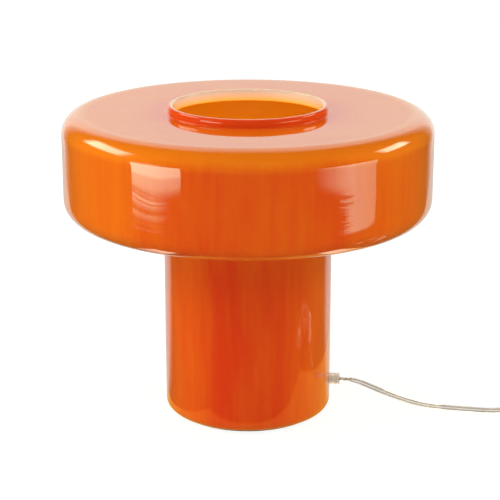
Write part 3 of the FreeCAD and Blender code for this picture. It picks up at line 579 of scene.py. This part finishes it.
def sweep_tree():
    takes = {"Geometry": (GEOMETRY, None), "Section": ("NodeSocketObject", None), "First turn": (FLOAT, 0.0),
             "Turn start": (FLOAT, 0.0), "Turn length": (FLOAT, 0.05), "Material": ("NodeSocketMaterial", None)}
    tree, given, result = new_group("swept_section", "GeometryNodeTree", takes, {"Geometry": GEOMETRY})
    line = add(tree, "GeometryNodeMeshToCurve", {"Mesh": given["Geometry"]})
    upright = add(tree, "GeometryNodeSetCurveNormal", {"Curve": line.outputs["Curve"]}, mode="Z_UP")
    along = add(tree, "GeometryNodeSplineParameter").outputs["Length"]
    start = given["Turn start"]
    end = maths(tree, "ADD", start, given["Turn length"])
    share = add(tree, "ShaderNodeMapRange", {"Value": along, "From Min": start, "From Max": end, "To Min": 1.0,
                                             "To Max": 0.0}, interpolation_type="SMOOTHSTEP")
    turn = times(tree, share.outputs["Result"], given["First turn"])
    tilted = add(tree, "GeometryNodeSetCurveTilt", {"Curve": upright.outputs["Curve"], "Tilt": turn})
    drawn = add(tree, "GeometryNodeObjectInfo", {"Object": given["Section"]})
    outline = add(tree, "GeometryNodeMeshToCurve", {"Mesh": drawn.outputs["Geometry"]})
    body = add(tree, "GeometryNodeCurveToMesh", {"Curve": tilted.outputs["Curve"],
                                                 "Profile Curve": outline.outputs["Curve"], "Fill Caps": True})
    end_of_tree(tree, body.outputs["Mesh"], given, result)
    return tree


swept_section = sweep_tree()
print("tree:", swept_section.name)

# %% Helpers: line objects, trees on objects, baking
def line_object(name, loops):
    mesh = bpy.data.meshes.new(name)
    points = []
    edges = []
    for loop, closed in loops:
        first = len(points)
        points += [tuple(p) for p in loop]
        edges += [(first + i, first + i + 1) for i in range(len(loop) - 1)]
        if closed:
            edges.append((first + len(loop) - 1, first))
    mesh.from_pydata(points, edges, [])
    thing = bpy.data.objects.new(name, mesh)
    scene.collection.objects.link(thing)
    return thing


def face_outwards(mesh):
    shape = bmesh.new()
    shape.from_mesh(mesh)
    bmesh.ops.recalc_face_normals(shape, faces=shape.faces)
    if shape.calc_volume(signed=True) < 0:
        bmesh.ops.reverse_faces(shape, faces=shape.faces)
    shape.to_mesh(mesh)
    shape.free()


def baked(thing):
    graph = bpy.context.evaluated_depsgraph_get()
    graph.update()
    return bpy.data.meshes.new_from_object(thing.evaluated_get(graph), depsgraph=graph)


def grow(thing, tree, values, material):
    modifier = thing.modifiers.new(tree.name, "NODES")
    modifier.node_group = tree
    chosen = {**values, "Material": material}
    for item in tree.interface.items_tree:
        if item.item_type == "SOCKET" and item.in_out == "INPUT" and item.name in chosen:
            modifier[item.identifier] = chosen[item.name]
    mesh = baked(thing)
    thing.modifiers.remove(modifier)
    thing.data = mesh
    mesh.name = thing.name
    face_outwards(mesh)
    return thing


def discard(*things):
    for thing in things:
        bpy.data.objects.remove(thing)


print("baking helpers ready")

# %% [markdown]
# ## The flex
# Clear twin flex: two copper cores side by side in clear plastic, 5.4 mm wide and 2.7 mm thick. It comes out of
# the bush flat, turns on edge as it droops, and runs along the table to its switch.
# A smooth NURBS line, led by a few listed points, gives the way it lies, and the section is swept along that.

# %% Section of the flex
lobe_radius, groove_depth, groove_width = 1.35, 0.28, 0.55
core_place, core_radius = 1.3, 0.48


def twin_outline(steps=10, side_steps=8):
    half = []
    for k in range(steps + 1):
        angle = -math.pi / 2 + math.pi * k / steps
        half.append((lobe_radius * math.sin(angle), lobe_radius + lobe_radius * math.cos(angle)))
    for k in range(1, side_steps):
        y = lobe_radius - 2 * lobe_radius * k / side_steps
        half.append((lobe_radius - groove_depth * math.exp(-(y / groove_width) ** 2), y))
    return [(x * MM, y * MM, 0.0) for x, y in half + [(-x, -y) for x, y in half]]


def core_outline(y, radius, steps=14):
    angles = [2 * math.pi * k / steps for k in range(steps)]
    return [(radius * MM * math.cos(angle), (y + radius * math.sin(angle)) * MM, 0.0) for angle in angles]


twin_section = line_object("twin_section", [(twin_outline(), True)])
core_section = line_object("core_section", [(core_outline(y, core_radius), True) for y in (core_place, -core_place)])
print("flex section points:", len(twin_section.data.vertices))

# %% Lines of the flex
def laid_line(name, points):
    curve = bpy.data.curves.new(name, "CURVE")
    curve.dimensions = "3D"
    curve.resolution_u = 6
    spline = curve.splines.new("NURBS")
    spline.points.add(len(points) - 1)
    for point, place in zip(spline.points, points):
        point.co = (place[0] * MM, place[1] * MM, place[2] * MM, 1.0)
    spline.order_u = 3
    spline.use_endpoint_u = True
    thing = bpy.data.objects.new(name, curve)
    scene.collection.objects.link(thing)
    places = [v.co.copy() for v in baked(thing).vertices]
    discard(thing)
    return places


def length_of(line):
    return sum((b - a).length for a, b in zip(line, line[1:]))


bush_x, bush_y, bush_z = 89.825, -11.029, 30.0
bush_turn = math.radians(-7)
lead_line = laid_line("lead_line", [
    (bush_x, bush_y, bush_z),
    (bush_x + 9 * math.cos(bush_turn), bush_y + 9 * math.sin(bush_turn), bush_z),
    (bush_x + 22, bush_y - 2.2, 26.6),
    (bush_x + 35, bush_y - 2.8, 21.0),
    (bush_x + 49, bush_y - 3.2, 14.8),
    (bush_x + 66, bush_y - 4.2, 8.8),
    (bush_x + 86, bush_y - 5.9, 3.8),
    (bush_x + 107, bush_y - 8.6, 2.8),
    (bush_x + 128, bush_y - 12.6, 2.8),
    (bush_x + 150, bush_y - 17.2, 3.0),
    (bush_x + 173, -30.6, 6.5),
    (285.83, -31.0, 7.5),
])
print("lead length", round(length_of(lead_line), 4), "m in", len(lead_line), "points")

# %% [markdown]
# ## The put-away length
# Most of the flex lies outside the picture, wound for storage: inwards on a lower layer, up a layer, and outwards
# again, held by a paper tie. The turns follow a rule, so a loop writes them as more points of the same line,
# twenty-four to a turn. The line runs a little inside its points, and the reach factor makes up for that.

# %% Line of the tail with its coil
coil_x, coil_y = 356.26, -86.64
coil_turns, coil_marks = 7.25, 24
reach = 1.0 / math.cos(math.pi / coil_marks)
inner_radius, turn_gap, crossing_room = 24.0, 3.2, 1.7
lower_layer, layer_step = 4.0, 5.9


def ease(x):
    x = max(0.0, min(1.0, x))
    return x * x * (3 - 2 * x)


def coil_place(count):
    away = abs(count - coil_turns / 2)
    soft = away if away > 0.25 else 2 * away * away + 0.125
    radius = (inner_radius + turn_gap * soft + crossing_room * ease((away - 0.25) / 0.5)) * reach
    height = lower_layer + layer_step * ease((count - coil_turns / 2 + 0.25) / 0.5)
    angle = -2 * math.pi * count
    return (coil_x + radius * math.cos(angle), coil_y + radius * math.sin(angle), height)


tail_points = [(347.83, -31.0, 7.5), (363.83, -31.0, 7.2), (378.33, -37.76, 5.9), (388.62, -50.02, 4.9),
               (393.56, -65.24, 4.1), (393.6, -81.24, 4.0)]
for step in range(1, int(coil_turns * coil_marks) + 1):
    tail_points.append(coil_place(step / coil_marks))
tail_points += [(345.5, -124.1, 9.9), (338.86, -124.18, 9.6), (326.87, -124.34, 6.95), (314.9, -124.5, 6.85)]
tail_line = laid_line("tail_line", tail_points)
print("tail length", round(length_of(tail_line), 4), "m in", len(tail_line), "points")

# %% Swept flex
def flex_pieces(name, line, first_turn, turn_start, turn_length):
    made = []
    for part, section, material in (("flex", twin_section, clear_pvc), ("cores", core_section, copper)):
        piece = line_object(f"{name}_{part}", [(line, False)])
        values = {"Section": section, "First turn": first_turn, "Turn start": turn_start, "Turn length": turn_length}
        made.append(grow(piece, swept_section, values, material))
    print(name, "flex faces", [len(piece.data.polygons) for piece in made])
    return made


lead_flex, lead_cores = flex_pieces("lead", lead_line, math.pi / 2, 0.0005, 0.018)
tail_flex, tail_cores = flex_pieces("tail", tail_line, 0.0, 0.0, 0.050)
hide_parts("flex_lead")
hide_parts("flex_link", "flex_coil", "flex_end")
for piece in (lead_flex, lead_cores, tail_flex, tail_cores):
    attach(piece, "lamp")

# %% [markdown]
# ## A tree that turns a profile
# The glass, the felt, the bush and the screw threads are all one drawn profile carried round an axis.
# The Screw modifier turns a profile too, but it can't ripple the skin or cut a thread. This tree lays out a grid,
# reads each row's radius and height from the drawn profile, bends the grid round the axis, and adds two rules:
# a soft seeded ripple, as breath and tools leave in glass, and a screw thread for the lampholder's pieces.

# %% Turning tree
def read_row(tree, profile, row, value, kind):
    return add(tree, "GeometryNodeSampleIndex", {"Geometry": profile, "Index": row, "Value": value},
               data_type=kind).outputs["Value"]


def rippled(tree, place, given):
    breath = add(tree, "ShaderNodeTexNoise", {"Vector": place, "W": given["Seed"], "Detail": 1.5,
                                              "Scale": given["Ripple scale"]}, noise_dimensions="4D")
    centred = add(tree, "ShaderNodeVectorMath", {0: breath.outputs["Color"], 1: (0.5, 0.5, 0.5)}, operation="SUBTRACT")
    shift = add(tree, "ShaderNodeVectorMath", {0: centred.outputs["Vector"], "Scale": given["Ripple"]},
                operation="SCALE")
    return add(tree, "ShaderNodeVectorMath", {0: place, 1: shift.outputs["Vector"]}, operation="ADD").outputs["Vector"]


def turning_tree():
    takes = {"Geometry": (GEOMETRY, None), "Steps round": ("NodeSocketInt", 96)}
    takes |= {name: (FLOAT, 0.0) for name in ("Ripple", "Ripple scale", "Seed", "Thread pitch", "Thread depth")}
    takes["Material"] = ("NodeSocketMaterial", None)
    tree, given, result = new_group("turned_profile", "GeometryNodeTree", takes, {"Geometry": GEOMETRY})
    profile = given["Geometry"]
    rows = add(tree, "GeometryNodeAttributeDomainSize", {"Geometry": profile}).outputs["Point Count"]
    columns = maths(tree, "ADD", given["Steps round"], 1.0)
    grid = add(tree, "GeometryNodeMeshGrid", {"Vertices X": rows, "Vertices Y": columns})
    index = add(tree, "GeometryNodeInputIndex").outputs[0]
    row = maths(tree, "FLOOR", maths(tree, "DIVIDE", maths(tree, "ADD", index, 0.5), columns))
    column = maths(tree, "SUBTRACT", index, times(tree, row, columns))
    place = add(tree, "GeometryNodeInputPosition").outputs[0]
    parts = split(tree, read_row(tree, profile, row, place, "FLOAT_VECTOR"))
    side = add(tree, "GeometryNodeInputNamedAttribute", {"Name": "lining"}, data_type="FLOAT")
    lining = read_row(tree, profile, row, side.outputs["Attribute"], "FLOAT")
    turn = times(tree, maths(tree, "DIVIDE", column, given["Steps round"]), 2 * math.pi)
    lead = times(tree, maths(tree, "DIVIDE", parts["Z"], given["Thread pitch"]), 2 * math.pi)
    crest = maths(tree, "COSINE", maths(tree, "SUBTRACT", lead, turn))
    radius = maths(tree, "ADD", parts["X"], times(tree, crest, given["Thread depth"]))
    x = times(tree, radius, maths(tree, "COSINE", turn))
    y = times(tree, radius, maths(tree, "SINE", turn))
    bent = add(tree, "ShaderNodeCombineXYZ", {"X": x, "Y": y, "Z": parts["Z"]}).outputs[0]
    moved = add(tree, "GeometryNodeSetPosition", {"Geometry": grid.outputs["Mesh"],
                                                  "Position": rippled(tree, bent, given)})
    marked = add(tree, "GeometryNodeStoreNamedAttribute", {"Geometry": moved.outputs["Geometry"], "Name": "lining",
                                                           "Value": lining}, data_type="FLOAT")
    closed = add(tree, "GeometryNodeMergeByDistance", {"Geometry": marked.outputs["Geometry"], "Distance": 0.000002})
    end_of_tree(tree, closed.outputs["Geometry"], given, result)
    return tree


turned_profile = turning_tree()
print("tree:", turned_profile.name)

# %% [markdown]
# ## Drawing a profile
# A profile is a list of corners with a radius on each, in millimetres, as on a turner's drawing. Each corner
# becomes a short arc and each long run gets points in between, so that the ripple has something to move.
# A mark on each point says whether it belongs to the lining, the inner side of the glass.

# %% Profile helper
def drawn_profile(corners, arc_step=1.2, run_step=6.0, lining_from=None):
    rows = []
    count = len(corners)
    for i, (r, z, radius) in enumerate(corners):
        corner = Vector((r, z))
        before = Vector(corners[i - 1][:2])
        after = Vector(corners[(i + 1) % count][:2])
        mark = 1.0 if lining_from is not None and i >= lining_from else 0.0
        if radius == 0:
            rows.append((corner, mark))
            continue
        a, b = (before - corner).normalized(), (after - corner).normalized()
        half = a.angle(b) / 2
        centre = corner + (a + b).normalized() * radius / math.sin(half)
        first = corner + a * radius / math.tan(half) - centre
        last = corner + b * radius / math.tan(half) - centre
        sweep = first.angle_signed(last)
        steps = max(3, int(abs(sweep) * radius / arc_step) + 1)
        for k in range(steps + 1):
            angle = -sweep * k / steps
            rows.append((centre + Matrix.Rotation(angle, 2) @ first, mark))
    rows.append(rows[0])
    dense = [rows[0]]
    for (p, m), (q, n) in zip(rows, rows[1:]):
        parts = max(1, int((q - p).length / run_step))
        dense += [(p.lerp(q, k / parts), m + (n - m) * k / parts) for k in range(1, parts + 1)]
    return dense


def turned_piece(name, profile, material, steps, ripple=0.0, scale=12.0, seed=0.0, pitch=0.0, depth=0.0):
    piece = line_object(name, [([(p.x * MM, 0.0, p.y * MM) for p, _ in profile], False)])
    marks = piece.data.attributes.new("lining", "FLOAT", "POINT")
    marks.data.foreach_set("value", [m for _, m in profile])
    values = {"Steps round": steps, "Ripple": ripple, "Ripple scale": scale, "Seed": seed, "Thread pitch": pitch,
              "Thread depth": depth}
    grow(piece, turned_profile, values, material)
    print(name, "faces", len(piece.data.polygons))
    return piece


print("profile helpers ready")

# %% [markdown]
# ## The glass
# The drum and the foot are blown separately and joined under the drum, so outside they read as one glass body.
# From the fixing hole the profile runs out along the raised bottom, up the foot, round the drum to the rolled
# collar, and back down the inside. The ripple is under half a millimetre: enough to bend a reflection.

# %% Glass body
glass_corners = [
    (5, 10, 0), (26, 10, 4), (34, 2, 4), (80.5, 2, 8), (80.5, 196.7, 4), (175, 196.7, 19), (175, 296, 19),
    (75.4, 294.4, 1.0), (75.75, 297.2, 8), (75.3, 302.2, 2), (70.5, 302.2, 1.8), (70.5, 290.4, 3), (171, 292, 15),
    (171, 200.7, 15), (76.5, 200.7, 8), (76.5, 7, 6), (36, 7, 4), (28, 15, 4), (5, 15, 0)]
glass_profile = drawn_profile(glass_corners, lining_from=10)
glass_body = turned_piece("glass_body", glass_profile, cased_glass, 256, ripple=0.0006, scale=11.0, seed=3.0)
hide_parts("glass_drum", "glass_foot", "glass_base")
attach(glass_body, "lamp")

# %% [markdown]
# ## Felt, bush and screw threads
# The same tree turns the smaller round pieces. The felt gets a short, rough ripple of its own. The bush is turned
# upright and then laid along its hole with one matrix. The bulb's cap and the holder's shell share one thread pitch,
# so that they look as if they screw together, with clear room between them.

# %% Felt under the foot
felt_in, felt_out, felt_thick, felt_edge = 38, 71.5, 2, 0.5
felt_profile = drawn_profile([(felt_in, 0, felt_edge), (felt_out, 0, felt_edge), (felt_out, felt_thick, felt_edge),
                              (felt_in, felt_thick, felt_edge)], 0.4, 2.0)
felt_ring = turned_piece("felt_pad", felt_profile, felt, 180, ripple=0.0003, scale=420.0, seed=7.0)
for vertex in felt_ring.data.vertices:
    vertex.co.z = min(max(vertex.co.z, 0.0), felt_thick * MM)
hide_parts("felt_ring")
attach(felt_ring, "lamp")

# %% Bush of the flex
bush_profile = drawn_profile([
    (3.0, 67.5, 0.2), (4.1, 67.5, 0.3), (4.1, 80.4, 0), (5.4, 80.4, 0.3), (5.4, 86.6, 0.3), (5.0, 87.1, 0.2),
    (5.0, 87.6, 0.2), (5.4, 88.1, 0.3), (5.4, 90.5, 0.8), (3.0, 90.5, 0.4)], 0.3, 1.5)
flex_bush = turned_piece("bush_sleeve", bush_profile, frosted_pvc, 64)
lift = Matrix.Translation((0, 0, bush_z * MM))
lay_down = Matrix.Rotation(bush_turn, 4, "Z") @ lift @ Matrix.Rotation(math.pi / 2, 4, "Y")
flex_bush.data.transform(lay_down)
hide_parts("flex_bush")
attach(flex_bush, "lamp")

# %% Screw cap of the bulb and shell of the holder
thread_pitch = 0.00362
cap_low, cap_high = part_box("bulb_cap")[0].z / MM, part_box("bulb_cap")[1].z / MM
cap_profile = drawn_profile([(12.25, cap_low, 0.2), (12.7, cap_low, 0.2), (12.8, cap_high, 0.2),
                             (12.35, cap_high, 0.2)], 0.2, 0.45)
bulb_cap = turned_piece("bulb_screw_cap", cap_profile, bulb_metal, 72, pitch=thread_pitch, depth=0.0004)
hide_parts("bulb_cap")
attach(bulb_cap, "bulb")
shell_low, shell_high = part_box("screw_shell")[0].z / MM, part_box("screw_shell")[1].z / MM
shell_profile = drawn_profile([(12.6, shell_low, 0.1), (13.9, shell_low, 0.2), (14.05, shell_high, 0.1),
                               (13.65, shell_high, 0.1), (13.6, shell_low + 0.6, 0.2), (12.6, shell_low + 0.6, 0.1)],
                              0.2, 0.45)
screw_shell = turned_piece("holder_screw_shell", shell_profile, brass, 72, pitch=thread_pitch, depth=0.0003)
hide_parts("screw_shell")
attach(screw_shell, "lamp")

# %% [markdown]
# ## Flex inside the foot and the paper tie
# Inside, the flex runs level from the bush to the axis and up the threaded tube. It is held at both ends, so it is
# a fixed piece and no free cord, but it is swept in the same way. The tie is a strip of paper round the coil:
# its section is a thin rounded bar, and its line is a rounded box round the bundle.

# %% Inner flex
inner_line = laid_line("inner_line", [
    (bush_x, bush_y, bush_z), (55.0, -6.753, bush_z), (28.0, -3.438, bush_z), (13.9, -1.706, bush_z),
    (0.3, 0.0, bush_z + 0.3), (0.0, 0.0, 44.0), (0.0, 0.0, 58.0), (0.0, 0.0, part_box("flex_inner")[1].z / MM)])
inner_flex = line_object("inner_flex", [(inner_line, False)])
grow(inner_flex, swept_section, {"Section": twin_section, "First turn": math.pi / 2, "Turn start": 1.0,
                                 "Turn length": 0.05}, clear_pvc)
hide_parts("flex_inner")
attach(inner_flex, "lamp")
print("inner flex length", round(length_of(inner_line), 4))

# %% Paper tie
def rounded_loop(x0, x1, z0, z1, radius, y, steps=5):
    places = []
    for cx, cz, first in ((x1 - radius, z1 - radius, 0), (x0 + radius, z1 - radius, 90),
                          (x0 + radius, z0 + radius, 180), (x1 - radius, z0 + radius, 270)):
        for k in range(steps + 1):
            angle = math.radians(first + 90 * k / steps)
            places.append(((cx + radius * math.cos(angle)) * MM, y * MM, (cz + radius * math.sin(angle)) * MM))
    return places


def thin_bar(half_thick, half_wide, steps=4):
    places = []
    for cx, first in ((half_wide - half_thick, 0), (-half_wide + half_thick, 180)):
        for k in range(steps + 1):
            angle = math.radians(first + 180 * k / steps)
            places.append(((cx + half_thick * math.sin(angle)) * MM, half_thick * MM * math.cos(angle), 0.0))
    return places


tie_section = line_object("tie_section", [(thin_bar(0.36, 5.0), True)])
tie_low, tie_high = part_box("coil_tie")
tie_inset, tie_corner = 0.4, 1.6
tie_line = rounded_loop(tie_low.x / MM + tie_inset, tie_high.x / MM - tie_inset, tie_low.z / MM + tie_inset,
                        tie_high.z / MM - tie_inset, tie_corner, (tie_low.y + tie_high.y) / 2 / MM)
coil_tie = line_object("paper_tie", [(tie_line, True)])
grow(coil_tie, swept_section, {"Section": tie_section, "First turn": 0.0}, paper)
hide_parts("coil_tie")
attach(coil_tie, "lamp")
print("tie box", [round(v, 4) for v in tie_low], [round(v, 4) for v in tie_high])

# %% [markdown]
# ## Pieces that keep their construction shape
# Brackets, washers, screws, holder, switch and plug are already right in the frame, so they stay and only get a
# finish. Each name is looked up once in a table of finishes, and a missing name would stop the script.

# %% Finishes on the frame's own pieces
finish_of = {
    zinc: ("bolt_disc", "bolt_nut", "seat_plate", "holder_bracket", "clamp_bolt", "nipple", "nipple_nut",
           "nipple_washer", "switch_screws"),
    rubber: ("lower_washer", "seat_gasket"),
    resin: ("holder_cap", "holder_sleeve"),
    porcelain: ("holder_core",),
    brass: ("terminal_screws", "centre_contact", "bulb_contact", "switch_contacts"),
    black_glass: ("bulb_insulator", "pin_sleeves"),
    opal: ("bulb_envelope",),
    copper: ("flex_cores", "switch_core"),
    frosted_pvc: ("bush_nut",),
    clear_shell: ("switch_base", "switch_cover"),
    milky_shell: ("switch_rocker", "plug_body"),
    nickel: ("plug_pins",),
}
dressed = 0
for material, names in finish_of.items():
    for name in names:
        nodes[name].data.materials.clear()
        nodes[name].data.materials.append(material)
        dressed += 1
print("frame pieces dressed:", dressed)

# %% [markdown]
# ## The free flex
# The lead ends in the switch, and the tail, which leaves the switch, ends in the plug. The drawn sections, used
# only for sweeping, are removed.

# %% Cords
discard(twin_section, core_section, tie_section)
print("cords declared:", lead_flex.name, tail_flex.name)
